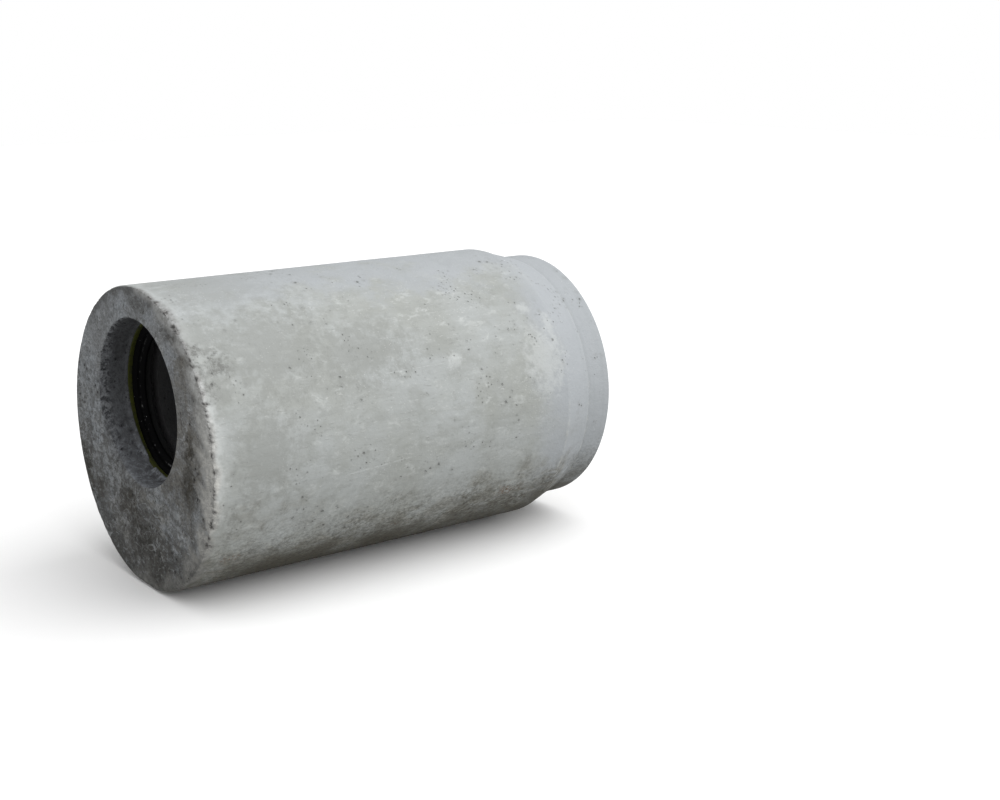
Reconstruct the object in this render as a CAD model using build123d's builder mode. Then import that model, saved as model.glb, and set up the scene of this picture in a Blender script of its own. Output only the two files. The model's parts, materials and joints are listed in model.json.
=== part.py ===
from build123d import *
import os

# Precast concrete pipe reducer, eccentric, lying on its side.
# X runs along the pipe from the small end to the large end, Z is up, and the
# origin is on the floor under the middle of the length. All lengths are in mm.

# Outside of the casting
barrel_d = 430.0
barrel_length = 600.0
shoulder_length = 55.0
spigot_d = 393.0
spigot_length = 45.0
arris = 4.0

# Waterway
large_bore_d = 300.0
large_bore_length = 155.0
spigot_lip_r = 12.0
small_bore_length = 40.0

# Socket for the small pipe, which stops on a step behind its seat
pipe_d = 200.0
pipe_clearance = 2.0
pipe_seat_length = 60.0
stop_step = 4.0
ring_room = 18.0
mouth_depth = 80.0
mouth_chamfer = 5.0

# Seal ring in its groove, and the band that holds it
groove_inset = 40.0
groove_depth = 6.0
seat_gap = 0.3
band_length = 6.0
band_show = 4.0
seal_length = 26.0
heel_show = 7.0
hollow_depth = 5.0
lip_squeeze = 3.5
lip_reach = 10.0
lip_tip = 3.0
lip_ridge = 6.5

# Radii worked out from the sizes above
barrel_r = barrel_d / 2
spigot_r = spigot_d / 2
large_bore_r = large_bore_d / 2
pipe_seat_r = pipe_d / 2 + pipe_clearance
small_bore_r = pipe_seat_r - stop_step
mouth_r = pipe_d / 2 + ring_room
groove_r = mouth_r + groove_depth
ring_r = groove_r - seat_gap
band_r = mouth_r - band_show
heel_r = band_r - heel_show
lip_r = pipe_d / 2 - lip_squeeze

# Places along the pipe
total_length = barrel_length + shoulder_length + spigot_length
small_face = -total_length / 2
large_face = total_length / 2
shoulder_start = small_face + barrel_length
spigot_start = shoulder_start + shoulder_length
cone_end = large_face - large_bore_length
mouth_end = small_face + mouth_depth
seat_end = mouth_end + pipe_seat_length
cone_start = seat_end + small_bore_length
groove_front = small_face + groove_inset
seal_front = groove_front + band_length
groove_back = seal_front + seal_length
lip_x = seal_front + lip_reach

# The two bores meet flush along the crown, so the small one sits higher
axis_z = barrel_r
small_axis_z = axis_z + large_bore_r - small_bore_r
main_axis = Axis((0, 0, axis_z), (1, 0, 0))
small_axis = Axis((0, 0, small_axis_z), (1, 0, 0))
main_section = Plane.XZ.shift_origin((0, 0, axis_z))
small_section = Plane.XZ.shift_origin((0, 0, small_axis_z))

# The two edges of the small face share its thinnest wall, over the crown of the mouth
crown_wall = barrel_r - (small_axis_z - axis_z) - mouth_r
small_face_arris = min(arris, crown_wall / 3)
mouth_edge = min(mouth_chamfer, crown_wall / 3)

os.makedirs("parts", exist_ok=True)

# Concrete casting: barrel, shoulder and spigot, with the waterway cut through it
with BuildPart() as reducer_body:
    with BuildSketch(main_section):
        with BuildLine():
            Polyline(
                (small_face, 0),
                (small_face, barrel_r),
                (shoulder_start, barrel_r),
                (spigot_start, spigot_r),
                (large_face, spigot_r),
                (large_face, 0),
                close=True,
            )
        make_face()
    revolve(axis=main_axis)

    # Straight stretch of the large bore, open at the spigot's face
    with BuildSketch(Plane.YZ.offset(cone_end)):
        with Locations((0, axis_z)):
            Circle(large_bore_r)
    extrude(amount=large_bore_length, mode=Mode.SUBTRACT)

    # Oblique cone between the bores
    with BuildSketch(Plane.YZ.offset(cone_start)):
        with Locations((0, small_axis_z)):
            Circle(small_bore_r)
    with BuildSketch(Plane.YZ.offset(cone_end)):
        with Locations((0, axis_z)):
            Circle(large_bore_r)
    loft(mode=Mode.SUBTRACT)

    # Small bore, seat for the pipe end, seal groove and socket mouth
    with BuildSketch(small_section):
        with BuildLine():
            Polyline(
                (cone_start, 0),
                (cone_start, small_bore_r),
                (seat_end, small_bore_r),
                (seat_end, pipe_seat_r),
                (mouth_end, pipe_seat_r),
                (mouth_end, mouth_r),
                (groove_back, mouth_r),
                (groove_back, groove_r),
                (groove_front, groove_r),
                (groove_front, mouth_r),
                (small_face, mouth_r),
                (small_face, 0),
                close=True,
            )
        make_face()
    revolve(axis=small_axis, mode=Mode.SUBTRACT)

    # Edges as the mould leaves them: a soft lip in the large bore, small bevels elsewhere
    fillet(reducer_body.faces().sort_by(Axis.X)[-1].inner_wires().edges(), spigot_lip_r)
    chamfer(reducer_body.faces().sort_by(Axis.X)[-1].outer_wire().edges(), arris)
    chamfer(reducer_body.faces().sort_by(Axis.X)[0].outer_wire().edges(), small_face_arris)
    chamfer(reducer_body.faces().sort_by(Axis.X)[0].inner_wires().edges(), mouth_edge)

reducer_body.part.label = "reducer_body"
export_step(reducer_body.part, "parts/reducer_body.step")

# Rubber ring: a heel in the groove, and a lip behind a hollow, leaning in with the pipe
with BuildPart() as lip_seal:
    with BuildSketch(small_section):
        with BuildLine():
            Polyline(
                (seal_front, ring_r),
                (seal_front, band_r),
                (seal_front + hollow_depth, band_r - hollow_depth),
                (seal_front + hollow_depth, lip_r + lip_ridge),
                (lip_x, lip_r),
                (lip_x + lip_tip, lip_r),
                (lip_x + 2 * lip_tip, heel_r),
                (groove_back, heel_r),
                (groove_back, ring_r),
                close=True,
            )
        make_face()
    revolve(axis=small_axis)

lip_seal.part.label = "lip_seal"
export_step(lip_seal.part, "parts/lip_seal.step")

# Plastic band in the front of the groove, which keeps the ring in it
with BuildPart() as seal_band:
    with BuildSketch(small_section):
        with BuildLine():
            Polyline(
                (groove_front, band_r),
                (seal_front, band_r),
                (seal_front, ring_r),
                (groove_front, ring_r),
                close=True,
            )
        make_face()
    revolve(axis=small_axis)

seal_band.part.label = "seal_band"
export_step(seal_band.part, "parts/seal_band.step")
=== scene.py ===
import json
import math

import bpy
import numpy as np
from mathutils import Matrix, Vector, noise


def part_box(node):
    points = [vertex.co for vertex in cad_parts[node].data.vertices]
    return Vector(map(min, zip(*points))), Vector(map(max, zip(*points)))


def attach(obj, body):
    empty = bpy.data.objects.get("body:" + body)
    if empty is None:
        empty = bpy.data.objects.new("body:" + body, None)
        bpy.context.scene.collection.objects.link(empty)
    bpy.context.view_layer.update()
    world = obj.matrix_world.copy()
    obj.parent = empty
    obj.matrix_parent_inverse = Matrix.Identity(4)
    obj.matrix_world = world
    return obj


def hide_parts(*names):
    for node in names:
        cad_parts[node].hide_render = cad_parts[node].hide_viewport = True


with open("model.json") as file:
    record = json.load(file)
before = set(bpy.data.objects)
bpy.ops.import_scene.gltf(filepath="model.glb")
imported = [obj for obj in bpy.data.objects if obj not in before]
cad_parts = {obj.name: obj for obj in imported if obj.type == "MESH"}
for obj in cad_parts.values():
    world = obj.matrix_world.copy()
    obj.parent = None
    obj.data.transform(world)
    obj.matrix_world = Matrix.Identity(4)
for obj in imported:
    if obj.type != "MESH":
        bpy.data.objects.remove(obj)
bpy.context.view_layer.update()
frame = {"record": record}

# Looks of a precast concrete pipe reducer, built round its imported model. X runs from
# the socket end to the spigot end, Z is up, and every length is in metres. Angles on
# the rings are counted from the crown, towards the side that faces the camera.
body_low, body_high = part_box("reducer_body")
seal_low, seal_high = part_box("lip_seal")
band_low, band_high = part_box("seal_band")
mount = {m["name"]: m for m in frame["record"]["mounts"]}

# Outside of the casting
small_face = body_low.x
large_face = body_high.x
barrel_r = (body_high.z - body_low.z) / 2
axis_z = (body_high.z + body_low.z) / 2
barrel_length = 0.6
shoulder_length = 0.055
shoulder_start = small_face + barrel_length
spigot_start = shoulder_start + shoulder_length
spigot_r = mount["spigot"]["dims"]["r_mm"] / 1000
spigot_bevel = 0.004

# Waterway, from the large end to the small one
large_bore_r = 0.15
large_bore_length = 0.155
spigot_lip_r = 0.012
small_axis_z = mount["socket_mouth"]["pos_m"][2]
small_bore_r = 0.098
small_bore_length = 0.04
pipe_seat_r = 0.102
pipe_seat_length = 0.06
mouth_r = mount["socket_mouth"]["dims"]["r_mm"] / 1000
mouth_depth = 0.08
cone_end = large_face - large_bore_length
mouth_end = small_face + mouth_depth
seat_end = mouth_end + pipe_seat_length
cone_start = seat_end + small_bore_length

# Groove in the socket, with the band in front and the seal behind it
groove_r = 0.124
groove_front = band_low.x
groove_back = seal_high.x
band_r = 0.114
ring_r = (seal_high.z - seal_low.z) / 2
hollow_depth = 0.005
lip_ridge_r = 0.103
lip_r = 0.0965
lip_reach = 0.01
lip_tip = 0.003
heel_r = 0.107

# Studio: where the camera stands and looks, its lens in mm, the lamp, the sky and the floor
camera_place = (-1.2077, -1.8982, 0.7537)
camera_direction = (0.6012, 0.7648, -0.2316)
camera_lens = 54.45
sun_direction = (0.42, -0.55, 0.72)
sun_degrees = 90
sun_strength = 2.6
sky_strength = 0.71
floor_half = 9.0
floor_gap = 0.0002

# Points round the casting, and round the seal and the band
AROUND = 600
RING_AROUND = 256

# How the casting is worn
edge_wear = 0.0036
chip_wear = 0.0024
mouth_wear = 0.0012
mouth_chip_wear = 0.001
wear_grain = 0.006
surface_waves = 0.0004
wave_size = 0.11
corner_dip = 0.0006
corner_dip_reach = 0.002
crown_wear = 0.0034
crown_wear_start = 0.006
crease_depth = 0.006
crease_reach = 0.01
# Stretches of the socket's outer edge that are rubbed round: degrees from the crown,
# length round the edge, and how far it reaches over the end face and over the barrel
RUBBED_EDGE = [
    (10, 0.07, 0.004, 0.006), (28, 0.1, 0.008, 0.012), (44, 0.05, 0.008, 0.006),
    (60, 0.07, 0.011, 0.008), (76, 0.09, 0.014, 0.01), (92, 0.08, 0.015, 0.01),
    (106, 0.07, 0.014, 0.011), (122, 0.06, 0.013, 0.012), (138, 0.08, 0.015, 0.015),
    (158, 0.1, 0.009, 0.01), (181, 0.11, 0.007, 0.009),
]
# Chips in it, given in the same way
SEEN_CHIPS = [
    (14, 0.01, 0.004, 0.006), (19, 0.012, 0.004, 0.009), (26, 0.018, 0.005, 0.011),
    (34, 0.014, 0.007, 0.005), (42, 0.009, 0.004, 0.008), (49, 0.012, 0.006, 0.005),
    (57, 0.014, 0.005, 0.007), (62, 0.008, 0.004, 0.009), (66, 0.009, 0.005, 0.012),
    (70, 0.007, 0.004, 0.007), (77, 0.01, 0.004, 0.008), (84, 0.011, 0.005, 0.006),
    (90, 0.01, 0.005, 0.005), (98, 0.009, 0.005, 0.006), (105, 0.009, 0.005, 0.009),
    (111, 0.008, 0.005, 0.011), (116, 0.011, 0.006, 0.006), (120, 0.01, 0.007, 0.012),
]
# The mouth's edge is crisp near the camera and rubbed round on the far side
RUBBED_MOUTH = [
    (188, 0.07, 0.007, 0.006), (212, 0.09, 0.012, 0.01), (236, 0.11, 0.015, 0.014),
    (268, 0.12, 0.012, 0.012), (300, 0.1, 0.01, 0.01), (325, 0.07, 0.008, 0.007),
    (345, 0.06, 0.005, 0.004),
]
# Thin cement rim that squeezed out over the band: how far each of its rings stands before the
# groove, and its share of the rim's reach inward. That reach changes at the degrees given,
# over a half length in degrees, by a length
RIM_SHAPE = [(0.0002, 0.0), (0.0002, 1.0), (0.0012, 1.0), (0.0024, 0.62), (0.004, 0.2)]
RIM_CHANGES = [(222, 34, 0.005), (206, 5.5, -0.0072)]
rim_length = 0.006
rim_reach = 0.0022
rim_waves = 0.0016
# Marks on the barrel: place along X, degrees from the crown, reach along X and round it
PITTED = [
    (0.198, 45, 0.013, 0.014), (-0.217, 55, 0.014, 0.01), (-0.042, 20, 0.024, 0.01),
    (-0.15, 67, 0.03, 0.014), (0.032, 36, 0.014, 0.012), (0.064, 66, 0.026, 0.03),
    (-0.02, 94, 0.016, 0.01), (0.139, 107, 0.02, 0.016), (0.23, 52, 0.012, 0.05),
]
PALE = [
    (0.236, 57, 0.012, 0.03), (0.205, 47, 0.012, 0.01), (0.05, 64, 0.016, 0.012),
    (0.212, 70, 0.04, 0.06),
]
STAINED = [
    (-0.338, 46, 0.014, 0.018), (-0.336, 61, 0.014, 0.018), (-0.316, 52, 0.022, 0.022),
    (-0.343, 53, 0.012, 0.02),
]
SHADED = [
    (-0.23, 48, 0.11, 0.09), (-0.1, 55, 0.11, 0.06), (-0.27, 88, 0.06, 0.08),
    (-0.335, 40, 0.05, 0.045), (-0.33, 60, 0.036, 0.04), (-0.25, 10, 0.13, 0.1),
]
RUSTED = [(-0.308, 130, 0.026, 0.01), (-0.036, 132, 0.018, 0.006), (0.161, 126, 0.03, 0.014)]
# Thin pale lines on it: place along X, degrees, half length, half width, rise along X
SMEARS = [(-0.091, 99.2, 0.07, 0.0016, 0.07), (-0.02, 65, 0.062, 0.0008, 0.016)]
# Marks on the socket's end face: place across and above the axis, reach across and up
FACE_PALE = [
    (0.158, 0.072, 0.044, 0.048), (0.148, 0.01, 0.034, 0.06), (0.118, -0.105, 0.026, 0.03),
    (-0.1, -0.085, 0.07, 0.034), (-0.165, -0.085, 0.03, 0.05), (-0.198, 0.04, 0.016, 0.07),
    (0.04, 0.18, 0.04, 0.024), (-0.05, 0.186, 0.04, 0.022), (-0.105, 0.14, 0.03, 0.036),
    (-0.05, -0.072, 0.034, 0.03), (-0.085, -0.105, 0.034, 0.038), (-0.165, -0.1, 0.03, 0.045),
    (-0.105, -0.15, 0.034, 0.034), (-0.09, -0.19, 0.026, 0.02), (-0.125, -0.125, 0.05, 0.044),
]
FACE_DARK = [
    (0.05, -0.098, 0.03, 0.032), (0.028, -0.126, 0.038, 0.028), (0.0, -0.15, 0.054, 0.036),
    (-0.026, -0.176, 0.048, 0.034), (-0.04, -0.205, 0.054, 0.02), (-0.15, -0.016, 0.02, 0.05),
    (0.192, -0.08, 0.026, 0.06), (0.14, -0.1, 0.022, 0.026), (-0.15, -0.048, 0.024, 0.028),
    (-0.112, 0.16, 0.04, 0.02), (-0.04, 0.192, 0.04, 0.014),
]


def stops(length, first, widest, last, growth=0.3):
    """Places from 0 to 1 along a run; their spacing grows from first to widest, and ends at last."""
    places = [0.0]
    while places[-1] < length:
        here = places[-1]
        ahead = max(last, last + growth * (length - here))
        places.append(here + min(widest, first + growth * here, ahead))
    return np.array(places) / places[-1]


def run(zone, start, end, first, widest, last):
    """Rings from one corner of the profile to the next, without the last: (zone, x, radius, centre z)."""
    start = np.array(start)
    end = np.array(end)
    places = stops(float(np.linalg.norm(end - start)), first, widest, last)[:-1]
    return [(zone, *(start + t * (end - start))) for t in places]


def lip_rounding():
    """Rings of the round lip between the large face and the large bore."""
    rings = []
    for turn in np.linspace(0, math.pi / 2, 7)[:-1]:
        x = large_face - spigot_lip_r * (1 - math.cos(turn))
        rings.append(("end", x, large_bore_r + spigot_lip_r * (1 - math.sin(turn)), axis_z))
    return rings


def chain(corners, legs):
    """Rings along a chain of corners; each leg gives the zone and the spacing between two of them."""
    rings = []
    for start, end, (zone, *spacing) in zip(corners, corners[1:], legs):
        rings += run(zone, start, end, *spacing)
    return rings


def casting_profile():
    """The casting's closed profile, out along its outside and back through its waterway."""
    small = small_axis_z
    outside = chain([
        (small_face, mouth_r, small), (small_face, barrel_r, axis_z), (shoulder_start, barrel_r, axis_z),
        (spigot_start, spigot_r, axis_z), (large_face - spigot_bevel, spigot_r, axis_z),
        (large_face, spigot_r - spigot_bevel, axis_z), (large_face, large_bore_r + spigot_lip_r, axis_z),
    ], [
        ("face", 0.0016, 0.01, 0.0013), ("outside", 0.0013, 0.026, 0.003),
        ("outside", 0.003, 0.01, 0.003), ("outside", 0.003, 0.01, 0.002),
        ("outside", 0.002, 0.002, 0.002), ("end", 0.002, 0.008, 0.003),
    ])
    waterway = chain([
        (large_face - spigot_lip_r, large_bore_r, axis_z), (cone_end, large_bore_r, axis_z),
        (cone_start, small_bore_r, small), (seat_end, small_bore_r, small),
        (seat_end, pipe_seat_r, small), (mouth_end, pipe_seat_r, small), (mouth_end, mouth_r, small),
    ], [
        ("bore", 0.004, 0.03, 0.003), ("bore", 0.003, 0.045, 0.006), ("bore", 0.004, 0.014, 0.003),
        ("bore", 0.004, 0.004, 0.004), ("bore", 0.004, 0.016, 0.004), ("mouth", 0.004, 0.008, 0.004),
    ])
    groove = [
        ("mouth", mouth_end, mouth_r, small), ("mouth", groove_back, mouth_r, small),
        ("mouth", groove_back, groove_r, small), ("mouth", groove_front, groove_r, small),
    ]
    rim = [("rim", groove_front - before, mouth_r, small) for before, _ in RIM_SHAPE]
    rim_root = (groove_front - rim_length, mouth_r, small)
    wall = run("mouth", rim_root, (small_face, mouth_r, small), 0.003, 0.005, 0.0014)
    return outside + lip_rounding() + waterway + groove + rim + wall


def cloud(points, size, seed, octaves=4):
    """Smooth noise of about -1 to 1 at each point; size is that of its largest bumps."""
    shift = Vector((seed * 13.7, seed * 7.3, seed * 3.1))
    flat = points.reshape(-1, 3)
    values = [noise.fractal(Vector(p) / size + shift, 0.9, 2.1, octaves) for p in flat.tolist()]
    return np.array(values).reshape(points.shape[:-1])


def round_noise(angles, radius, size, seed, octaves=4):
    """The same noise along a circle, so that it closes."""
    points = np.stack([radius * np.sin(angles), radius * np.cos(angles), 0 * angles], -1)
    return cloud(points, size, seed, octaves)


def bites(angles, radius, marks, base, seed):
    """How far the wear reaches over an edge's two sides at each angle, and how deep in a mark it is."""
    fine = round_noise(angles, radius, 0.006, seed)
    slow = round_noise(angles, radius, 0.03, seed + 1)
    rough = 1 + 0.16 * fine + 0.2 * slow
    first = base * rough
    second = base * rough
    depth = np.zeros_like(angles)
    for degrees, width, over_first, over_second in marks:
        away = (angles - math.radians(degrees) + math.pi) % (2 * math.pi) - math.pi
        hollow = np.clip(1 - (away * radius / (width / 2)) ** 2, 0, 1) ** 0.6
        first = np.maximum(first, over_first * hollow * rough)
        second = np.maximum(second, over_second * hollow * rough)
        depth = np.maximum(depth, hollow)
    return first, second, depth


def scattered_chips(count, seed, lowest, highest, widths, bite):
    """Chips at seeded places between two angles, most of them small."""
    random = np.random.default_rng(seed)
    chips = []
    for _ in range(count):
        size = random.random() ** 2
        width = widths[0] + (widths[1] - widths[0]) * size
        depth = bite[0] + (bite[1] - bite[0]) * size
        degrees = random.uniform(lowest, highest)
        over_first = depth * random.uniform(0.7, 1.2)
        over_second = depth * random.uniform(0.8, 1.5)
        chips.append((degrees, width, over_first, over_second))
    return chips


def break_edge(u, v, first, second):
    """How far a point moves in under a flat break, when u and v are its distances from the edge."""
    inside = 1 - u / first - v / second
    return np.clip(inside, 0, None) / (1 / first + 1 / second)


def rub_edge(u, v, first, second):
    """The same under a round edge."""
    p = np.clip(1 - u / first, 0, 1)
    q = np.clip(1 - v / second, 0, 1)
    slope = p / first + q / second
    bend = 1 / first ** 2 + 1 / second ** 2
    root = np.sqrt(np.clip(slope ** 2 - bend * (p ** 2 + q ** 2 - 1), 0, None))
    return np.where((p > 0) & (q > 0), np.clip((slope - root) / bend, 0, None), 0)


def near_edge(u, v, first, second):
    """1 at an edge, falling to 0 at the given distances from it on its two sides."""
    return np.clip(1 - u / first, 0, 1) * np.clip(1 - v / second, 0, 1)


def wear_outer_edge(x, radius, centre, angles, zones, smooth):
    """Rubs the socket's outer edge round and chips it; also gives the masks of both."""
    face = (zones == "face")[:, None]
    outside = (zones == "outside")[:, None]
    from_axis = np.hypot(radius * np.sin(angles), centre - axis_z + radius * np.cos(angles))
    u = np.where(face, barrel_r - from_axis, 0)
    v = np.where(outside, x - small_face, 0)
    over_face, over_barrel, worn = bites(angles, barrel_r, RUBBED_EDGE, edge_wear, 11)
    # The worn mask also reaches far over the end face, as a painted light ramp for the light that grows
    # across the round edge
    rubbed_and_lit = (face | outside) * worn * near_edge(u, v, 3.4 * over_face, 1.5 * over_barrel)
    round_off = rub_edge(u, v, over_face, over_barrel)
    chips = SEEN_CHIPS + scattered_chips(9, 5, 170, 365, (0.004, 0.01), (0.003, 0.0045))
    chips += scattered_chips(36, 6, 5, 122, (0.003, 0.007), (0.0035, 0.006))
    over_face, over_barrel, chipped = bites(angles, barrel_r, chips, chip_wear, 13)
    cut = break_edge(u, v, over_face, over_barrel)
    grain = 1 + cloud(smooth, wear_grain, 21, 3) * np.maximum(0.35 * chipped, 0.3 * worn)
    moved = np.where(face | outside, np.maximum(round_off, cut) * grain, 0)
    broken = np.clip(cut / 0.002, 0, 1) * chipped * (face | outside)
    return x + moved, radius - moved, {"broken": broken, "rubbed_and_lit": rubbed_and_lit}


def wear_mouth_edge(x, radius, angles, zones, smooth):
    """Rubs and chips the mouth's edge; also gives the mask of its soiling and painted shade."""
    face = (zones == "face")[:, None]
    wall = (zones == "mouth")[:, None] & (x < groove_front - RIM_SHAPE[-1][0])
    u = np.where(face, radius - mouth_r, 0)
    v = np.where(wall, x - small_face, 0)
    over_face, over_wall, worn = bites(angles, mouth_r, RUBBED_MOUTH, mouth_wear, 31)
    soiled_and_shaded = (face | wall) * worn * near_edge(u, v, 1.1 * over_face, 1.5 * over_wall)
    round_off = rub_edge(u, v, over_face, over_wall)
    chips = scattered_chips(30, 8, 200, 335, (0.003, 0.008), (0.005, 0.011))
    over_face, over_wall, _ = bites(angles, mouth_r, chips, mouth_chip_wear, 33)
    cut = break_edge(u, v, over_face, over_wall)
    grain = 1 + 0.5 * cloud(smooth, wear_grain, 22, 3) * worn
    near = (face | wall) & (radius - mouth_r < 0.03)
    moved = np.where(near, np.maximum(round_off, cut) * grain, 0)
    return x + moved, radius + moved, soiled_and_shaded


def squeeze_rim(radius, angles, zones):
    """Draws the cement rim over the band inward, unevenly round it and with a gap."""
    reach = rim_reach + rim_waves * round_noise(angles, mouth_r, 0.05, 41, 3)
    for degrees, half, change in RIM_CHANGES:
        reach = reach + change * np.exp(-((np.degrees(angles) - degrees) / half) ** 4)
    reach = np.clip(reach, 0.0002, 0.008)
    radius = radius.copy()
    for index, (_, share) in zip(np.flatnonzero(zones == "rim"), RIM_SHAPE):
        radius[index] -= reach * share
    return radius


def wave_surfaces(x, radius, angles, zones, smooth):
    """Slow waves of the mould and the trowel, always inward, and the shoulder's rubbed crown."""
    waves = surface_waves * (0.5 + 0.5 * np.clip(cloud(smooth, wave_size, 51, 3), -1, 1))
    dip = corner_dip * np.exp(-((smooth[..., 0] - spigot_start) / corner_dip_reach) ** 2)
    along = smooth[..., 0] - shoulder_start
    slope = np.clip(np.minimum(1 + along / crown_wear_start, 1 - along / shoulder_length), 0, 1)
    crown = crown_wear * slope * np.clip(np.cos(angles), 0, 1) ** 2
    radius = radius - np.where((zones == "outside")[:, None], waves + dip + crown, 0)
    x = x + np.where((zones == "face")[:, None], 1.8 * waves, 0)
    x = x - np.where((zones == "end")[:, None], 1.5 * waves, 0)
    return x, radius


def roughen_crease(radius, broken, angles, zones, smooth):
    """Pits where the cone leaves the large bore, deepest at the crown, added to the broken mask."""
    along = np.exp(-((smooth[..., 0] - cone_end) / crease_reach) ** 2)
    crease = along * (0.5 + 0.5 * np.cos(angles)) ** 2 * (zones == "bore")[:, None]
    pits = np.clip(cloud(smooth, 0.012, 61, 4) + 0.15, 0, None) * crease
    return radius + crease_depth * pits, np.maximum(broken, np.clip(2 * pits, 0, 0.8))


def ring_rows(profile, column, angles):
    """One column of a profile as rows of a grid, the same all round each ring."""
    return np.array([ring[column] for ring in profile])[:, None] + 0 * angles


def ring_points(x, radius, centre, angles):
    """Points of rings round an axis along X, at the height given as the centre."""
    return np.stack([x, -radius * np.sin(angles), centre + radius * np.cos(angles)], -1)


def cast_grid(profile):
    """Points of the casting's rings, with masks of where each is broken, rubbed or soiled."""
    angles = np.linspace(0, 2 * math.pi, AROUND, endpoint=False)
    zones = np.array([ring[0] for ring in profile])
    x, radius, centre = (ring_rows(profile, column, angles) for column in (1, 2, 3))
    smooth = ring_points(x, radius, centre, angles)
    x, radius, masks = wear_outer_edge(x, radius, centre, angles, zones, smooth)
    x, radius, masks["soiled_and_shaded"] = wear_mouth_edge(x, radius, angles, zones, smooth)
    radius = squeeze_rim(radius, angles, zones)
    x, radius = wave_surfaces(x, radius, angles, zones, smooth)
    radius, masks["broken"] = roughen_crease(radius, masks["broken"], angles, zones, smooth)
    return ring_points(x, radius, centre, angles), masks, zones


def tube_mesh(name, grid, sharp_degrees):
    """A closed mesh from rings of points, the last ring joined to the first."""
    rings, around, _ = grid.shape
    index = np.arange(rings * around).reshape(rings, around)
    ahead = np.roll(index, -1, 0)
    quads = np.stack([index, np.roll(index, -1, 1), np.roll(ahead, -1, 1), ahead], -1)
    mesh = bpy.data.meshes.new(name)
    mesh.from_pydata(grid.reshape(-1, 3).tolist(), [], quads.reshape(-1, 4).tolist())
    mesh.shade_smooth()
    mesh.set_sharp_from_angle(angle=math.radians(sharp_degrees))
    return mesh


def add_piece(name, mesh, materials, slot, *nodes):
    """Puts a mesh in the scene as the piece that stands for its CAD nodes."""
    piece = bpy.data.objects.new(name, mesh)
    bpy.context.scene.collection.objects.link(piece)
    for material in materials:
        mesh.materials.append(material)
    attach(piece, "root")
    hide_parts(*nodes)


def add_values(mesh, name, values):
    """Stores one number per vertex, for the materials to read."""
    attribute = mesh.attributes.new(name, "FLOAT", "POINT")
    attribute.data.foreach_set("value", values.astype(np.float32).ravel())


# Reaches that leave out the direction along X from a distance
ACROSS_X = (1e4, 1.0, 1.0)


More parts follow.
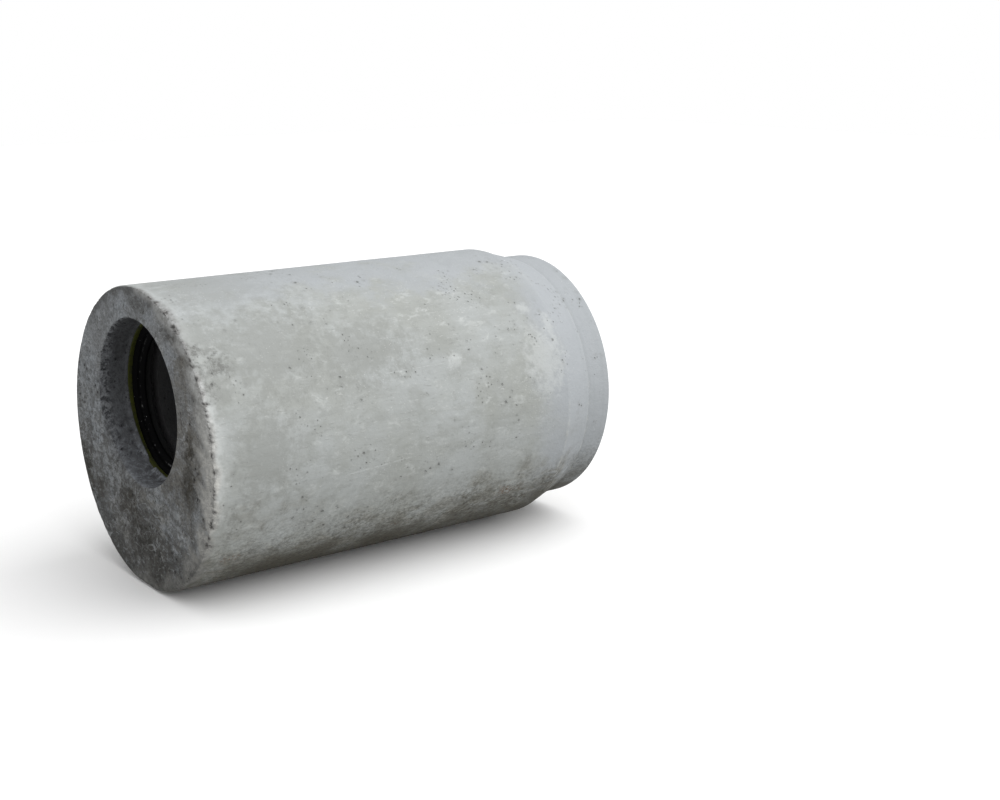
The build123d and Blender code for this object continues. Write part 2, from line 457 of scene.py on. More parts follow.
class Nodes:
    """Short ways to build a material's nodes."""

    def __init__(self, name):
        self.material = bpy.data.materials.new(name)
        self.material.use_nodes = True
        self.tree = self.material.node_tree
        self.shader = self.tree.nodes["Principled BSDF"]
        self.place = self.add("ShaderNodeTexCoord").outputs["Object"]
        self.noise_place = self.place

    def add(self, kind, inputs=(), **settings):
        """A new node; its inputs are given in order, or as a dict by name or number."""
        node = self.tree.nodes.new(kind)
        for key, value in settings.items():
            setattr(node, key, value)
        pairs = inputs.items() if isinstance(inputs, dict) else enumerate(inputs)
        for key, value in pairs:
            self.put(node.inputs[key], value)
        return node

    def put(self, socket, value):
        """Links an output to a socket, or sets a plain value on it; a colour needs no alpha."""
        if isinstance(value, bpy.types.NodeSocket):
            self.tree.links.new(value, socket)
        elif socket.type == "RGBA":
            socket.default_value = (*value, 1)
        else:
            socket.default_value = value

    def vector(self, operation, *values):
        return self.add("ShaderNodeVectorMath", values, operation=operation).outputs

    def stretch(self, x, y, z):
        """The place, with its three directions scaled."""
        return self.vector("MULTIPLY", self.place, (x, y, z))[0]

    def noise(self, scale, detail=3, roughness=0.55, distortion=0, place=None):
        """A slow noise of about 0.3 to 0.7; the scale is one number, or three to stretch it."""
        if isinstance(scale, tuple):
            place = self.stretch(*scale)
            scale = 1
        inputs = {
            "Vector": place or self.noise_place, "Scale": scale, "Detail": detail,
            "Roughness": roughness, "Distortion": distortion,
        }
        return self.add("ShaderNodeTexNoise", inputs).outputs["Fac"]

    def cells(self, scale, smallest=1, largest=1):
        """Distance to the nearest of scattered points, each of its own size."""
        node = self.add("ShaderNodeTexVoronoi", {"Vector": self.place, "Scale": scale})
        size = self.span(self.split(node.outputs["Color"])[0], 0.2, 1, smallest, largest)
        return self.math("DIVIDE", node.outputs["Distance"], size)

    def scratches(self, scale, width, distortion):
        """Thin winding lines as a 0..1 mask, where a slow noise crosses its middle."""
        level = self.noise(scale, 2, 0.5, distortion)
        return self.span(self.apart(level, 0.5), 0, width, 1, 0)

    def span(self, value, low, high, to_low=0, to_high=1):
        """Maps low..high to to_low..to_high, smoothly and clamped."""
        inputs = (value, low, high, to_low, to_high)
        return self.add("ShaderNodeMapRange", inputs, interpolation_type="SMOOTHSTEP").outputs[0]

    def math(self, operation, *values):
        return self.add("ShaderNodeMath", values, operation=operation).outputs[0]

    def plus(self, a, b):
        return self.math("ADD", a, b)

    def minus(self, a, b):
        return self.math("SUBTRACT", a, b)

    def times(self, a, b):
        return self.math("MULTIPLY", a, b)

    def larger(self, a, b):
        return self.math("MAXIMUM", a, b)

    def apart(self, a, b):
        """How far two values are from each other."""
        return self.math("ABSOLUTE", self.minus(a, b))

    def mix(self, amount, a, b, blend="MIX"):
        """Mixes two colours by an amount."""
        inputs = {"Factor": amount, 6: a, 7: b}
        return self.add("ShaderNodeMix", inputs, data_type="RGBA", blend_type=blend).outputs[2]

    def split(self, place=None):
        return self.add("ShaderNodeSeparateXYZ", [place or self.place]).outputs

    def distance(self, centre, reach):
        """How far the place is from a centre, in units of the reach along each direction."""
        away = self.vector("SUBTRACT", self.place, centre)[0]
        scaled = self.vector("MULTIPLY", away, tuple(1 / size for size in reach))[0]
        return self.vector("LENGTH", scaled)["Value"]

    def value_of(self, name):
        return self.add("ShaderNodeAttribute", attribute_name=name).outputs["Fac"]

    def bump(self, height, distance, below=None):
        """Relief from a height, over the relief below it."""
        inputs = {"Strength": 1, "Distance": distance, "Height": height}
        if below is not None:
            inputs["Normal"] = below
        return self.add("ShaderNodeBump", inputs).outputs[0]

    def sunk(self, holes, depth, below):
        """Relief that sinks where a mask of holes is high."""
        return self.bump(self.minus(1, holes), depth, below)

    def finish(self, colour, roughness, normal, specular=0.15):
        """Fills the material's shader, and gives the material."""
        self.put(self.shader.inputs["Base Color"], colour)
        self.put(self.shader.inputs["Roughness"], roughness)
        self.put(self.shader.inputs["Normal"], normal)
        self.put(self.shader.inputs["Specular IOR Level"], specular)
        return self.material


def pinholes(n, scale, size, patches, cover):
    """Scattered air holes as a 0..1 mask: cells' points, only where a slow noise is high."""
    hole = n.span(n.cells(scale), size * 0.45, size, 1, 0)
    return n.times(hole, n.span(n.noise(patches, 2), cover, cover + 0.1))


def speckled_pits(n, scale, patches, cover, marked=None):
    """Pits as two 0..1 masks: their cores, which are painted dark as the shade in them, and the soft
    halos round them, which are painted darker.
    """
    uneven = n.span(n.noise(3.2 * scale, 2), 0.3, 0.7, -0.06, 0.06)
    away = n.plus(n.cells(scale, 0.35, 1.5), uneven)
    near = n.span(n.noise(patches, 3), cover, cover + 0.08)
    if marked is not None:
        near = n.larger(near, marked)
    core = n.times(n.span(away, 0.07, 0.17, 1, 0), near)
    halo = n.times(n.span(away, 0.1, 0.55, 1, 0), near)
    return core, halo


def pit_layers(n, *layers):
    """Pits of several sizes as one pair of masks."""
    cores = 0
    halos = 0
    for layer in layers:
        core, halo = speckled_pits(n, *layer)
        cores = n.larger(cores, core)
        halos = n.larger(halos, halo)
    return cores, halos


def marks(n, places, ragged=0.9):
    """A 0..1 mask of soft marks, each a centre and its reaches, ragged at their edges."""
    edge = n.span(n.noise(70, 6, 0.7), 0.3, 0.7, -0.5 * ragged, 0.5 * ragged)
    total = 0
    for centre, reach in places:
        away = n.plus(n.distance(centre, reach), edge)
        total = n.larger(total, n.span(away, 0.3, 1.15, 1, 0))
    return total


def barrel_marks(n, places, ragged=0.9):
    """The mask of marks on the barrel's surface."""
    centres = []
    for x, degrees, along, around in places:
        turn = math.radians(degrees)
        centre = (x, -barrel_r * math.sin(turn), axis_z + barrel_r * math.cos(turn))
        centres.append((centre, (along, around, around)))
    return marks(n, centres, ragged)


def face_marks(n, places):
    """The mask of marks on the socket's end face, deep enough to cover its worn edges."""
    depth = 0.1
    centres = [((small_face, y, axis_z + z), (depth, wide, high)) for y, z, wide, high in places]
    return marks(n, centres, 1.3)


def smears(n):
    """The mask of the thin pale lines along the barrel's near side."""
    x, across, height = n.split()
    total = 0
    for start, degrees, half, width, rise in SMEARS:
        along = n.minus(x, start)
        level = axis_z + barrel_r * math.cos(math.radians(degrees))
        off = n.plus(n.minus(height, level), n.times(along, -rise))
        line = n.span(n.math("ABSOLUTE", off), width * 0.4, width, 1, 0)
        line = n.times(line, n.span(n.math("ABSOLUTE", along), half * 0.6, half, 1, 0))
        line = n.times(line, n.span(across, 0, 0.01, 1, 0))
        total = n.larger(total, line)
    return n.times(total, n.span(n.noise(90, 3), 0.4, 0.6, 0.2, 1))


def grey(level, warm):
    """A linear grey; warm leans it to brown."""
    return (level * (1 + warm), level, level * (1 - 1.4 * warm))


def broken_concrete(n, colour, amount, level):
    """Mixes in the sandy look of broken concrete where amount is high, with dark spots painted as the
    shade in its hollows.
    """
    sand = n.mix(n.noise(420, 2), grey(0.14 * level, 0.02), grey(0.42 * level, 0.01))
    # Painted shade: dark spots in the hollows of the broken concrete
    sand = n.mix(n.span(n.noise(190, 3), 0.44, 0.56, 0, 0.85), sand, grey(0.06 * level, 0.04))
    return n.mix(amount, colour, sand)


def worn_edges(n, colour, level, light, dark, top=1):
    """Adds the looks of edges worn round, grimy or broken, which every side of an edge shares, with
    painted light and shade in them: lit by height, and lower levels on the shaded sides.
    """
    height = n.split()[2]
    mottled = n.span(n.noise(110, 6, 0.72), 0.36, 0.64)
    # Painted light and shade: the worn edges are darker near the floor and, by top, at the crown
    lit = n.times(n.span(height, 0.04, 0.16, 0.45, 1), n.span(height, 0.33, 0.37, 1, top))
    warm = (1.01 * light, light, 0.95 * light)
    cool = (0.98 * light, light, light)
    bright = n.mix(n.span(height, 0.2, 0.34), warm, cool)
    scuffed_and_lit = n.mix(mottled, (dark, dark, 0.97 * dark), bright)
    rubbed_and_lit = n.times(n.span(n.value_of("rubbed_and_lit"), 0, 0.7), 0.92)
    colour = n.mix(rubbed_and_lit, colour, n.mix(1, scuffed_and_lit, lit, "MULTIPLY"))

    # Painted shade with soiling on the mouth's edge, strongest on its upper part
    soiled_and_shaded = n.times(n.value_of("soiled_and_shaded"), n.span(mottled, 0, 1, 1.5, 0.6))
    high = n.span(height, small_axis_z - 0.1, small_axis_z - 0.03, 0.25, 1)
    grime_and_shade = n.times(n.span(soiled_and_shaded, 0.05, 0.45, 0, 0.9), high)
    dotted = n.span(n.noise(170, 5, 0.72), 0.4, 0.6)
    colour = n.mix(grime_and_shade, colour, n.mix(dotted, (0.03, 0.031, 0.034), (0.17, 0.177, 0.188)))
    return broken_concrete(n, colour, n.value_of("broken"), level)


def rough_edges(n, below):
    """Relief of worn and broken edges, over the rest of the relief."""
    edges = n.larger(n.value_of("broken"), n.value_of("rubbed_and_lit"))
    return n.bump(n.times(n.noise(260, 4), edges), 0.003, below)


def ground_dirt_and_shade(n, colour, height, low, high, dirt_and_shade):
    """Soils a colour towards the floor and paints shade on it there, with a ragged upper limit."""
    ragged = n.span(n.noise(14, 4), 0.3, 0.7, -0.025, 0.025)
    return n.mix(n.span(n.plus(height, ragged), low, high, 1, 0), colour, dirt_and_shade)


def mould_tones(n):
    """Mottled tones of the mould's side, with its streaks along X; also gives the streaks."""
    blotch = n.span(n.noise(6.5, 4, 0.6, 0.4), 0.36, 0.64)
    colour = n.mix(blotch, (0.334, 0.346, 0.329), (0.382, 0.4, 0.397))
    mottle = n.span(n.noise((19, 28, 28), 5, 0.62, 0.6), 0.48, 0.66, 0, 0.55)
    colour = n.mix(mottle, colour, (0.287, 0.298, 0.282))
    bright = n.span(n.noise((34, 52, 52), 5, 0.66, 0.3), 0.55, 0.7, 0, 0.6)
    colour = n.mix(bright, colour, (0.5, 0.52, 0.51))
    streak = n.span(n.noise((13, 110, 110), 4, 0.62), 0.38, 0.68, 0, 0.3)
    colour = n.mix(streak, colour, (0.295, 0.305, 0.295))
    dashes = n.span(n.noise((75, 280, 280), 4, 0.7, 0.2), 0.57, 0.72, 0, 0.45)
    colour = n.mix(dashes, colour, (0.235, 0.24, 0.23))
    light_dashes = n.span(n.noise((85, 260, 260), 4, 0.7, 0.4), 0.59, 0.72, 0, 0.5)
    colour = n.mix(light_dashes, colour, (0.53, 0.54, 0.53))
    shaded = n.times(barrel_marks(n, SHADED), 0.65)
    return n.mix(shaded, colour, (0.262, 0.27, 0.257)), n.plus(streak, dashes)


def smooth_skin(n, colour, ragged):
    """A bluish, lighter tone along the crown, and bluish smoother skin growing over the shoulder to the
    spigot.
    """
    x, _, height = n.split()
    crown = n.span(n.plus(height, ragged), 0.39, 0.43, 0, 0.75)
    crown = n.times(crown, n.span(x, small_face + 0.02, small_face + 0.26, 0.3, 1))
    spigot = n.span(n.plus(x, ragged), shoulder_start - 0.08, shoulder_start + 0.01, 0, 0.9)
    skin = n.mix(n.noise(20, 3), (0.343, 0.363, 0.383), (0.383, 0.403, 0.423))
    colour = n.mix(n.larger(crown, spigot), colour, skin)

    # Faint lines round the spigot, and a broken light one along each edge of the shoulder
    turned = n.span(n.noise((200, 2.5, 2.5), 3, 0.6), 0.4, 0.7)
    lines = n.times(turned, n.span(x, shoulder_start + 0.01, spigot_start, 0, 0.25))
    colour = n.mix(lines, colour, (0.3, 0.325, 0.335))
    lower = n.span(height, 0.1, 0.26, 1, 0.25)
    for edge in (shoulder_start, spigot_start):
        away = n.plus(n.apart(x, edge), n.times(ragged, 0.06))
        line = n.times(n.span(away, 0.0004, 0.0034, 0.5, 0), n.span(n.noise(70, 5, 0.7), 0.42, 0.58))
        colour = n.mix(n.times(line, lower), colour, (0.52, 0.53, 0.51))
    return colour


def pale_places(n, colour):
    """Pale specks and patches, and a pale strip along the socket's edge on the barrel's sides, partly
    worn pale and partly painted light.
    """
    x, _, height = n.split()
    specks = n.span(n.cells(210), 0.1, 0.2, 1, 0)
    specks = n.times(specks, n.span(n.noise(18, 3), 0.5, 0.6, 0, 0.4))
    colour = n.mix(specks, colour, (0.58, 0.59, 0.57))
    # Painted light with wear: a pale strip along the socket's edge, on the barrel's sides only
    rubbed_and_lit = n.span(x, small_face + 0.004, small_face + 0.03, 0.85, 0)
    rubbed_and_lit = n.times(rubbed_and_lit, n.span(n.noise(30, 5, 0.65), 0.38, 0.54))
    sides = n.times(n.span(height, 0.1, 0.18), n.span(height, 0.29, 0.33, 1, 0.3))
    rubbed_and_lit = n.times(rubbed_and_lit, sides)
    pale = n.larger(rubbed_and_lit, n.times(barrel_marks(n, PALE), 0.5))
    pale = n.larger(pale, n.times(smears(n), 0.5))
    return n.mix(pale, colour, (0.51, 0.53, 0.525))


def weathering(n, colour, above, low):
    """Stains, soiling that thickens low down, painted shade near the floor, cement splashes and rust."""
    x = n.split()[0]
    fine_dirt = n.span(n.noise(150, 6, 0.75), 0.42, 0.6)
    stain = n.times(barrel_marks(n, STAINED), n.math("MULTIPLY_ADD", fine_dirt, 0.6, 0.4))
    colour = n.mix(n.times(stain, 0.95), colour, (0.175, 0.178, 0.17))
    clouds = n.span(n.noise((24, 38, 38), 5, 0.7, 0.5), 0.42, 0.6, 0.15, 1)
    colour = n.mix(n.times(low, clouds), colour, (0.225, 0.222, 0.198))
    speckle = n.times(n.times(low, fine_dirt), n.span(n.noise(30, 4), 0.36, 0.56))
    colour = n.mix(n.times(speckle, 0.85), colour, (0.105, 0.102, 0.088))
    splashes = n.span(n.noise((80, 120, 120), 5, 0.72), 0.53, 0.66, 0, 0.75)
    colour = n.mix(n.times(low, splashes), colour, (0.42, 0.42, 0.39))
    corner = n.times(n.span(x, small_face + 0.02, small_face + 0.12, 1, 0), low)
    colour = n.mix(n.times(corner, 0.15), colour, (0.15, 0.146, 0.128))
    rust = n.times(n.span(n.noise(230, 3), 0.5, 0.62), barrel_marks(n, RUSTED))
    colour = n.mix(n.times(rust, 0.8), colour, (0.16, 0.105, 0.075))
    ground = n.span(x, small_face + 0.02, small_face + 0.08, 0.55, 1)
    # Darker towards the floor: brown dirt, and painted shade near the floor
    soiled_and_shaded = ground_dirt_and_shade(n, colour, above, 0.02, 0.108, (0.094, 0.089, 0.073))
    colour = n.mix(ground, colour, soiled_and_shaded)
    sandy = n.span(n.noise((170, 260, 260), 5, 0.8), 0.3, 0.7, 0.62, 1.38)
    sandy = n.mix(1, colour, sandy, "MULTIPLY")
    return n.mix(n.span(above, 0.06, 0.16, 1, 0), colour, sandy)


def outside_concrete():
    """Mould-smooth barrel, shoulder and spigot."""
    n = Nodes("outside_concrete")
    x, _, height = n.split()
    ragged = n.span(n.noise(16, 5, 0.62), 0.3, 0.7, -0.022, 0.022)
    above = n.minus(height, n.span(x, shoulder_start, spigot_start, 0, barrel_r - spigot_r))
    low = n.span(n.plus(above, n.times(ragged, 1.8)), 0.03, 0.17, 1, 0)
    low = n.times(low, n.span(x, shoulder_start, spigot_start, 1, 0.15))
    colour, streaks = mould_tones(n)
    colour = smooth_skin(n, colour, ragged)
    colour = pale_places(n, colour)
    colour = weathering(n, colour, above, low)

    marked = barrel_marks(n, PITTED + STAINED, 1.2)
    marked_low = n.times(low, n.span(n.noise(17, 4), 0.46, 0.6))
    core, halo = pit_layers(n, (85, 10, 0.55, marked), (200, 21, 0.56), (130, 26, 0.62, marked_low))
    # Painted shade in the pits' cores, with darker halos round them
    colour = n.mix(n.times(halo, 0.28), colour, (0.2, 0.205, 0.195))
    colour = n.mix(n.times(core, 0.54), colour, (0.105, 0.106, 0.1))
    colour = worn_edges(n, colour, 1, 0.6, 0.36, 0.62)

    soft = n.bump(n.noise(50, 5, 0.6), 0.0013)
    scratch = n.bump(streaks, 0.0003, soft)
    fine = n.bump(n.noise(330, 4), 0.0003, scratch)
    rough = rough_edges(n, n.sunk(core, 0.0012, fine))
    return n.finish(colour, n.span(n.noise(35), 0.3, 0.7, 0.82, 0.95), rough)


def face_tones(n, dark):
    """Clouds of the end face, brown towards its near foot and bluish on the far side, and its marks."""
    _, across, height = n.split()
    side = n.span(n.plus(n.times(height, 0.6), across), 0.02, 0.25)
    colour = n.mix(side, (0.18, 0.177, 0.165), (0.26, 0.274, 0.288))
    broad = n.span(n.noise(10, 4, 0.6, 0.8), 0.4, 0.6, 0, 0.8)
    colour = n.mix(broad, colour, n.mix(side, (0.135, 0.131, 0.121), (0.19, 0.196, 0.202)))
    clouds = n.span(n.noise(30, 4, 0.6, 0.7), 0.44, 0.62, 0, 0.55)
    colour = n.mix(clouds, colour, (0.232, 0.243, 0.255))
    colour = n.mix(dark, colour, (0.038, 0.034, 0.027))
    pale = n.times(face_marks(n, FACE_PALE), n.span(n.noise(45, 5, 0.7), 0.36, 0.6, 0.3, 1))
    colour = n.mix(pale, colour, (0.29, 0.31, 0.332))

    # Brown runs on the near side, and a painted shadow line inside the edge at the crown
    near = n.span(across, -0.1, -0.15)
    runs = n.times(n.span(n.noise((30, 52, 15), 4, 0.6, 0.5), 0.46, 0.62), near)
    colour = n.mix(n.times(runs, 0.5), colour, (0.118, 0.106, 0.086))
    from_axis = n.distance((0, 0, axis_z), ACROSS_X)
    rim = n.span(n.plus(from_axis, n.span(n.noise(60, 4), 0.3, 0.7, -0.006, 0.006)), 0.199, 0.209)
    rim = n.times(rim, n.span(height, 0.35, 0.39, 0, 0.75))
    colour = n.mix(rim, colour, (0.085, 0.086, 0.085))
    # Darker towards the floor: dirt, and painted shade near the floor
    return ground_dirt_and_shade(n, colour, height, -0.03, 0.16, (0.112, 0.112, 0.107))


def face_grains(n, colour):
    """Mottling, thin scratches and sand, all roughest low down; also gives their relief."""
    _, across, height = n.split()
    rough_side = n.span(n.minus(n.times(across, 0.45), height), -0.32, -0.1, 0.35, 1)
    patchy = n.span(n.noise(27, 5, 0.65, 0.5), 0.4, 0.6, 0.58, 1.42)
    patchy = n.mix(1, colour, patchy, "MULTIPLY")
    colour = n.mix(n.span(height, 0.1, 0.17, 1, 0), colour, patchy)
    mottled = n.times(n.span(n.noise(80, 5, 0.75, 0.3), 0.44, 0.56, 0, 0.8), rough_side)
    colour = n.mix(mottled, colour, (0.08, 0.079, 0.075))
    spots = n.times(n.span(n.noise(120, 6, 0.78), 0.5, 0.66, 0, 0.8), rough_side)
    colour = n.mix(spots, colour, (0.32, 0.334, 0.347))
    specks = n.times(n.span(n.noise(170, 5, 0.75), 0.56, 0.64, 0, 0.7), rough_side)
    colour = n.mix(specks, colour, (0.055, 0.054, 0.052))
    pale_lines = n.times(n.scratches(38, 0.03, 1), n.span(n.noise(16, 3), 0.46, 0.58, 0, 0.6))
    colour = n.mix(pale_lines, colour, (0.36, 0.375, 0.39))
    dark_lines = n.times(n.scratches(47, 0.03, 1.4), n.span(n.noise(19, 3), 0.46, 0.58, 0, 0.5))
    colour = n.mix(dark_lines, colour, (0.07, 0.068, 0.064))
    grain = n.span(n.noise(330, 5, 0.75), 0.25, 0.75, 0.66, 1.34)
    return n.mix(1, colour, grain, "MULTIPLY"), n.minus(spots, mottled)


def face_concrete():
    """The socket's end face: struck off by hand, darker and cloudy, with stains that ran down it."""
    n = Nodes("face_concrete")
    n.noise_place = n.stretch(1, 0.7, 1)
    dark = n.times(face_marks(n, FACE_DARK), n.span(n.noise(45, 5, 0.7), 0.35, 0.65, 1, 0.65))
    colour = face_tones(n, dark)
    colour, struck = face_grains(n, colour)
    colour = n.mix(n.times(dark, 0.75), colour, (0.56, 0.54, 0.5), "MULTIPLY")
    core, halo = pit_layers(n, (100, 14, 0.5), (210, 24, 0.5))
    # Painted shade in the pits' cores, with darker halos round them
    colour = n.mix(n.times(halo, 0.35), colour, (0.07, 0.07, 0.066))
    colour = n.mix(n.times(core, 0.85), colour, (0.02, 0.02, 0.02))

    # The edges and the relief take their noise unstretched, as the sides next to the face do
    n.noise_place = n.place
    # Painted shade: darker levels for the worn and broken edges on the shaded face
    colour = worn_edges(n, colour, 0.7, 0.52, 0.33, 0.78)
    soft = n.bump(n.noise(40, 6, 0.62), 0.004)
    trowel = n.bump(struck, 0.0008, soft)
    fine = n.bump(n.noise(420, 4), 0.0009, trowel)
    rough = rough_edges(n, n.sunk(core, 0.0016, fine))
    return n.finish(colour, n.span(n.noise(35), 0.3, 0.7, 0.8, 0.95), rough)


def end_concrete():
    """The spigot's end face and lip: pale, with marks of the trowel round it."""
    n = Nodes("end_concrete")
    _, across, height = n.split()
    from_axis = n.distance((0, 0, axis_z), ACROSS_X)
    inputs = (n.times(from_axis, 260), n.times(across, 4), n.times(height, 4))
    rings = n.add("ShaderNodeCombineXYZ", inputs)
    trowelled = n.span(n.noise(1, 4, 0.6, 0.4, rings.outputs[0]), 0.35, 0.7)
    colour = n.mix(n.noise(13, 4), (0.42, 0.42, 0.4), (0.52, 0.52, 0.5))
    colour = n.mix(n.times(trowelled, 0.35), colour, (0.36, 0.36, 0.35))
    # Darker towards the floor: dirt, and painted shade near the floor
    colour = ground_dirt_and_shade(n, colour, height, 0.02, 0.1, (0.25, 0.245, 0.22))
    # Painted shade in the pinholes
    holes = pinholes(n, 110, 0.13, 14, 0.5)
    colour = n.mix(n.times(holes, 0.7), colour, (0.12, 0.12, 0.11))
    soft = n.bump(n.noise(50, 5), 0.0016)
    fine = n.bump(trowelled, 0.0005, soft)
    return n.finish(colour, 0.88, n.sunk(holes, 0.0012, fine))


def bore_concrete():
    """The waterway: rough from its core, with painted shade that makes it darker towards the small end.
    """
    n = Nodes("bore_concrete")
    x = n.split()[0]
    # Painted shade: darker towards the small end, deep inside; the clouds and scrapes follow it
    depth = n.span(x, cone_start + 0.12, large_face)
    colour = n.mix(depth, (0.05, 0.051, 0.053), (0.34, 0.34, 0.325))
    # Painted light: a little lighter next to the mouth's end, against the shade behind the seal
    seat = n.span(x, mouth_end, mouth_end + 0.04)
    colour = n.mix(seat, (0.06, 0.061, 0.063), colour)
    cloudy = n.span(n.noise(18, 5, 0.62, 0.5), 0.42, 0.66, 0, 0.5)
    colour = n.mix(cloudy, colour, n.mix(depth, (0.045, 0.045, 0.045), (0.24, 0.24, 0.225)))
    scrape = n.span(n.noise((40, 6, 6), 4, 0.6, 0.3), 0.4, 0.7, 0, 0.3)
    colour = n.mix(scrape, colour, n.mix(depth, (0.06, 0.06, 0.06), (0.44, 0.44, 0.43)))
    # Painted shade: a dark line in the step at the seat's end
    step = n.span(n.apart(x, seat_end), 0.001, 0.006, 0.8, 0)
    colour = n.mix(step, colour, (0.018, 0.018, 0.018))
    # Painted shade in the pinholes, and in the pits of the crease
    holes = n.larger(pinholes(n, 70, 0.16, 9, 0.46), pinholes(n, 160, 0.17, 16, 0.48))
    colour = n.mix(n.times(holes, 0.8), colour, (0.03, 0.03, 0.03))
    colour = n.mix(n.times(n.value_of("broken"), 0.6), colour, (0.07, 0.068, 0.06))
    soft = n.bump(n.noise(55, 5, 0.62), 0.003)
    fine = n.bump(n.noise(380, 3), 0.0008, soft)
    return n.finish(colour, 0.9, n.sunk(holes, 0.0018, fine))


def mouth_concrete():
    """The socket's inner wall: painted dark for the shade inside the socket, with splashes of pale cement
    low down.
    """
    n = Nodes("mouth_concrete")
    x, _, height = n.split()
    # Painted shade: the wall's colours are kept dark, as the shade inside the socket
    colour = n.mix(n.noise(22, 4), (0.078, 0.081, 0.086), (0.132, 0.138, 0.148))
    # Painted shade on the upper wall, which faces down
    high = n.span(height, small_axis_z, small_axis_z + mouth_r * 0.8, 0, 0.4)
    colour = n.mix(high, colour, (0.055, 0.055, 0.055))
    # Painted light: lighter on the lower wall near the mouth, where light falls in
    low = n.span(height, small_axis_z - mouth_r, small_axis_z - 0.02, 0.85, 0.12)
    outer = n.span(x, small_face + 0.004, small_face + 0.028, 0.6, 0)
    colour = n.mix(n.times(low, outer), colour, (0.165, 0.176, 0.19))
    splash = n.span(n.noise(100, 6, 0.75, 0.5), 0.48, 0.6, 0, 0.9)
    colour = n.mix(n.times(splash, low), colour, (0.23, 0.246, 0.27))
    shade = n.span(n.noise(130, 5, 0.75), 0.5, 0.6, 0, 0.7)
    colour = n.mix(shade, colour, (0.05, 0.051, 0.055))
    scratches = n.times(n.scratches(60, 0.03, 1.2), n.span(n.noise(25, 3), 0.46, 0.58, 0, 0.6))
    colour = n.mix(n.times(scratches, low), colour, (0.28, 0.3, 0.325))
    flecks = n.span(n.noise(260, 4, 0.7), 0.54, 0.66, 0, 0.5)
    colour = n.mix(n.times(flecks, low), colour, (0.26, 0.27, 0.285))
    core, halo = pit_layers(n, (95, 12, 0.46), (210, 20, 0.44))
    # Painted shade in the pits' cores, with darker halos round them
    colour = n.mix(n.times(halo, 0.45), colour, (0.038, 0.038, 0.041))
    colour = n.mix(n.times(core, 0.8), colour, (0.02, 0.02, 0.022))
    # Painted shade: much darker levels for the worn and broken edges inside the socket
    colour = worn_edges(n, colour, 0.35, 0.2, 0.1)
    # Painted shade at the back of the socket, behind the seal
    behind = n.span(x, mouth_end - 0.006, mouth_end - 0.001)
    colour = n.mix(behind, colour, (0.06, 0.06, 0.062))
    soft = n.bump(n.noise(70, 5, 0.62), 0.0026)
    fine = n.bump(n.noise(420, 3), 0.0009, soft)
    return n.finish(colour, 0.86, n.sunk(core, 0.0016, fine))


def seal_rubber():
    """Black rubber with a painted glint along its ridge, dusty in places, and painted lighter on its
    heel, which lies in shade behind the lip.
    """
    n = Nodes("seal_rubber")
    x, _, height = n.split()
    dust = n.times(n.span(n.noise(140, 5, 0.7, 0.5), 0.58, 0.72), 0.1)
    colour = n.mix(dust, (0.002, 0.002, 0.0023), (0.07, 0.07, 0.068))
    # Painted light: the heel, which lies in shade behind the lip, is painted lighter grey
    lip_back = seal_low.x + lip_reach + lip_tip
    heel = n.span(x, lip_back + 0.0005, lip_back + 0.0035, 0, 0.9)
    colour = n.mix(heel, colour, (0.05, 0.05, 0.051))
    away = n.distance((0, 0, small_axis_z), ACROSS_X)
    # Painted highlight: a broken glint along the lip's ridge, stronger low down
    ridge = n.span(n.apart(away, lip_ridge_r - 0.0008), 0.0004, 0.0013, 1, 0)
    ridge_glint = n.times(ridge, n.span(n.noise(75, 5, 0.75), 0.53, 0.62))
    ridge_glint = n.times(ridge_glint, n.span(height, small_axis_z - 0.02, small_axis_z + 0.06, 1, 0.35))
    colour = n.mix(ridge_glint, colour, (0.1, 0.1, 0.1))
    crumbs = n.span(n.cells(190), 0.08, 0.14, 1, 0)
    crumbs = n.times(crumbs, n.span(n.noise(40), 0.54, 0.62))
    colour = n.mix(crumbs, colour, (0.25, 0.255, 0.25))
    lines = n.noise((500, 4, 4), 3, 0.5)
    fine = n.bump(n.noise(700, 2), 0.0001, n.bump(lines, 0.0001))
    bumpy = n.bump(crumbs, 0.0008, fine)
    return n.finish(colour, n.span(n.plus(dust, crumbs), 0, 0.6, 0.5, 0.8), bumpy, 0.02)


def band_plastic():
    """Yellow-green plastic, greyed by cement dust, and painted dark for the shade deep in the socket."""
    n = Nodes("band_plastic")
    # Painted shade: the plastic's colours are kept dark, as the socket's shade
    colour = n.mix(n.noise(60, 3), (0.03, 0.034, 0.008), (0.07, 0.078, 0.014))
    film = n.span(n.noise(110, 5, 0.7, 0.4), 0.48, 0.62, 0, 0.7)
    colour = n.mix(film, colour, (0.024, 0.025, 0.019))
    lines = n.noise((600, 5, 5), 3, 0.5)
    moulded = n.bump(n.noise(500, 2), 0.0001, n.bump(lines, 0.00012))
    return n.finish(colour, n.span(film, 0, 0.5, 0.5, 0.8), moulded, 0.1)


def seen_rays(tree):
    """1 for the rays that show a surface, straight or in a mirror or glass, and 0 for its light."""
    path = tree.nodes.new("ShaderNodeLightPath")
    seen = path.outputs["Is Camera Ray"]
    for ray in ("Is Glossy Ray", "Is Transmission Ray"):
        either = tree.nodes.new("ShaderNodeMath")
        either.operation = "MAXIMUM"
        tree.links.new(seen, either.inputs[0])
        tree.links.new(path.outputs[ray], either.inputs[1])
        seen = either.outputs[0]
    return seen


def floor_paint():
    """White floor that keeps its shadow, and stays darker for the light that it throws back."""
    n = Nodes("floor_paint")
    colour = n.mix(seen_rays(n.tree), (0.4, 0.4, 0.39), (0.93, 0.93, 0.93))
    wear = n.bump(n.noise(30, 3), 0.0004)
    return n.finish(colour, n.span(n.noise(8), 0.3, 0.7, 0.85, 0.95), wear, 0.1)


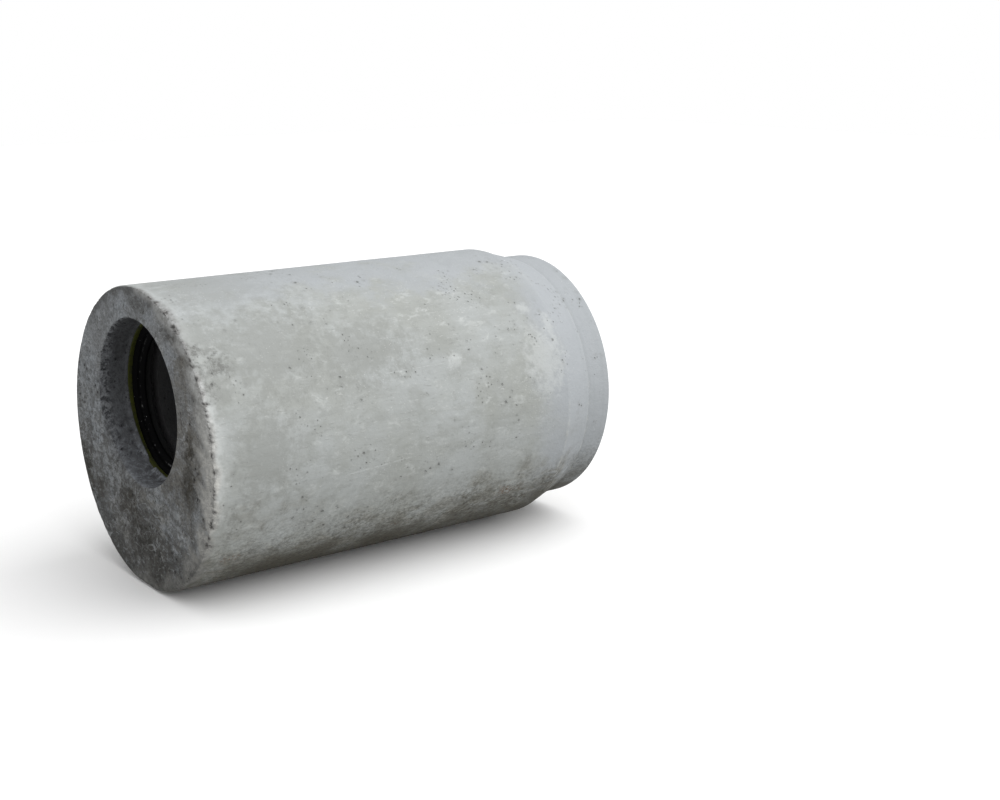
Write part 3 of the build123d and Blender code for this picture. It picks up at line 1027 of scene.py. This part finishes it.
def build_casting():
    """The concrete body, with a material for each of its zones."""
    grid, masks, zones = cast_grid(casting_profile())
    mesh = tube_mesh("concrete_casting", grid, 34)
    for name, values in masks.items():
        add_values(mesh, name, values)
    order = {"face": 0, "outside": 1, "end": 2, "bore": 3, "mouth": 4, "rim": 4}
    mesh.polygons.foreach_set("material_index", np.repeat([order[zone] for zone in zones], AROUND))
    materials = [face_concrete(), outside_concrete(), end_concrete(), bore_concrete(), mouth_concrete()]
    add_piece("concrete_casting", mesh, materials, "concrete", "reducer_body")


def rounded(points, size, steps=3):
    """A closed outline with every corner cut by a small arc."""
    out = []
    count = len(points)
    for i, corner in enumerate(points):
        corner = np.array(corner)
        before = np.array(points[i - 1]) - corner
        after = np.array(points[(i + 1) % count]) - corner
        reach = min(size, 0.45 * np.linalg.norm(before), 0.45 * np.linalg.norm(after))
        start = corner + before / np.linalg.norm(before) * reach
        end = corner + after / np.linalg.norm(after) * reach
        for t in np.linspace(0, 1, steps + 1):
            out.append((1 - t) ** 2 * start + 2 * t * (1 - t) * corner + t ** 2 * end)
    return out


def ring_mesh(name, outline, corner, wobble, seed):
    """A small part round the socket's axis, from its section, slightly uneven on its inside."""
    angles = np.linspace(0, 2 * math.pi, RING_AROUND, endpoint=False)
    profile = rounded(outline, corner)[::-1]
    x = ring_rows(profile, 0, angles)
    radius = ring_rows(profile, 1, angles)
    uneven = wobble * round_noise(angles, mouth_r, 0.06, seed, 3)
    radius = radius + np.where(ring_r - radius > 0.004, uneven, 0)
    return tube_mesh(name, ring_points(x, radius, small_axis_z, angles), 50)


def build_seal():
    """The rubber ring: heel in the groove, a hollow, and the lip that grips the pipe."""
    front = seal_low.x
    lip_x = front + lip_reach
    outline = [
        (front, ring_r), (front, band_r), (front + hollow_depth, band_r - hollow_depth),
        (front + hollow_depth, lip_ridge_r), (lip_x, lip_r), (lip_x + lip_tip, lip_r),
        (lip_x + 2 * lip_tip, heel_r), (groove_back, heel_r), (groove_back, ring_r),
    ]
    mesh = ring_mesh("rubber_seal", outline, 0.0014, 0.0003, 71)
    add_piece("rubber_seal", mesh, [seal_rubber()], "rubber", "lip_seal")


def build_band():
    """The plastic band in front of the rubber ring."""
    outline = [(band_low.x, band_r), (band_high.x, band_r), (band_high.x, ring_r), (band_low.x, ring_r)]
    mesh = ring_mesh("plastic_band", outline, 0.0007, 0.0002, 72)
    add_piece("plastic_band", mesh, [band_plastic()], "band", "seal_band")


def add_sun():
    """A soft studio lamp, given by the direction that it stands in."""
    lamp = bpy.data.lights.new("key_light", "SUN")
    lamp.energy = sun_strength
    lamp.angle = math.radians(sun_degrees)
    holder = bpy.data.objects.new("key_light", lamp)
    holder.rotation_euler = Vector(sun_direction).to_track_quat("Z", "Y").to_euler()
    bpy.context.scene.collection.objects.link(holder)


def light_world():
    """Even studio light: white where it is seen, softer where it lights."""
    world = bpy.data.worlds.new("studio")
    bpy.context.scene.world = world
    world.use_nodes = True
    tree = world.node_tree
    back = tree.nodes["Background"]
    strength = tree.nodes.new("ShaderNodeMapRange")
    tree.links.new(seen_rays(tree), strength.inputs["Value"])
    strength.inputs["To Min"].default_value = sky_strength
    strength.inputs["To Max"].default_value = 1.0
    back.inputs["Color"].default_value = (1, 1, 1, 1)
    tree.links.new(strength.outputs[0], back.inputs["Strength"])


def add_floor():
    """A white floor that the piece lies on."""
    mesh = bpy.data.meshes.new("floor")
    corners = [(x * floor_half, y * floor_half, 0) for x, y in ((-1, -1), (1, -1), (1, 1), (-1, 1))]
    mesh.from_pydata(corners, [], [(0, 1, 2, 3)])
    floor = bpy.data.objects.new("floor", mesh)
    floor.location.z = min(body_low.z, 0) - floor_gap
    mesh.materials.append(floor_paint())
    bpy.context.scene.collection.objects.link(floor)


def add_camera():
    """The photograph's point of view."""
    data = bpy.data.cameras.new("camera")
    data.sensor_width = 36
    data.lens = camera_lens
    camera = bpy.data.objects.new("camera", data)
    camera.location = camera_place
    camera.rotation_euler = Vector(camera_direction).to_track_quat("-Z", "Y").to_euler()
    bpy.context.scene.collection.objects.link(camera)
    bpy.context.scene.camera = camera


build_casting()
build_seal()
build_band()
add_floor()
add_camera()
add_sun()
light_world()
bpy.context.scene.view_settings.view_transform = "Standard"
